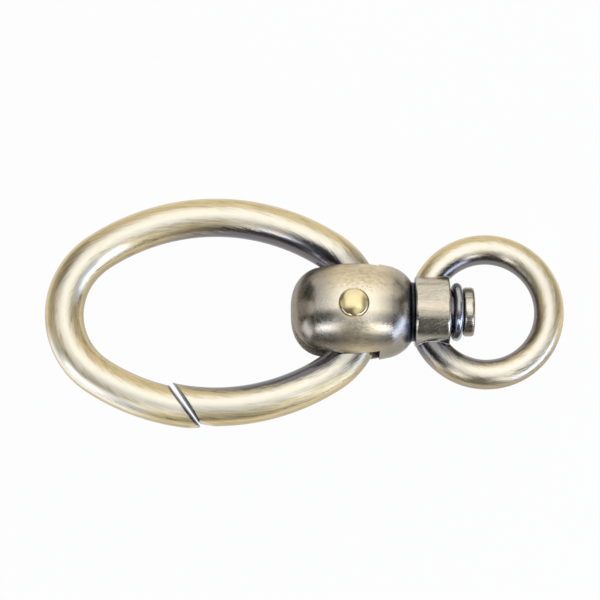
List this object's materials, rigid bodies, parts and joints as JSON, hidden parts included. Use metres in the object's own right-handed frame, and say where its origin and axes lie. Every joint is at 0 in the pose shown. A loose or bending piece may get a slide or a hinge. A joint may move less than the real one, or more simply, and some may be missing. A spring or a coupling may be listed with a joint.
{
  "type": "carabiner keyring",
  "caption": "Oval carabiner keyring of round rod with a sprung gate behind a slanted cut, hinged in a ball clevis that swivels on a round eye.",
  "frame": {"origin": "middle of the eye's hole, on the swivel axis", "axes": "+X along the swivel axis, from the oval toward the eye; +Z along the eye's hole and the hinge rivet, square to the flat of the oval; the gate is on -Y"},
  "size_m": [0.0801, 0.036, 0.0166],
  "materials": {
    "antique_brass": "brushed antique brass plating on cast zinc alloy",
    "dark_brass": "brushed antique brass plating on cast zinc alloy, left darker",
    "polished_brass": "buffed antique brass plating",
    "spring_steel": "drawn spring wire",
    "black_steel": "blackened",
    "dark_steel": "smooth gunmetal plating"
  },
  "bodies": {
    "hook": {"swivel_body": "dark_brass", "bow": "antique_brass", "hinge_rivet": "polished_brass", "gate_spring": "spring_steel", "swivel_post": "antique_brass", "thrust_washer": "black_steel", "snap_ring": "dark_steel"},
    "gate": {"gate": "antique_brass"},
    "eye": {"swivel_eye": "antique_brass"}
  },
  "joints": [
    {"name": "gate_hinge", "type": "hinge", "parent": "hook", "child": "gate", "pos_m": [-0.02045, 0, 0], "axis": [0, 0, -1], "range_deg": [0, 32], "stiffness_Nm_per_rad": 0.025, "springref_deg": -60.16, "deforming": ["gate_spring"]},
    {"name": "eye_swivel", "type": "hinge", "parent": "hook", "child": "eye", "pos_m": [-0.0083, 0, 0], "axis": [1, 0, 0], "continuous": true}
  ]
}
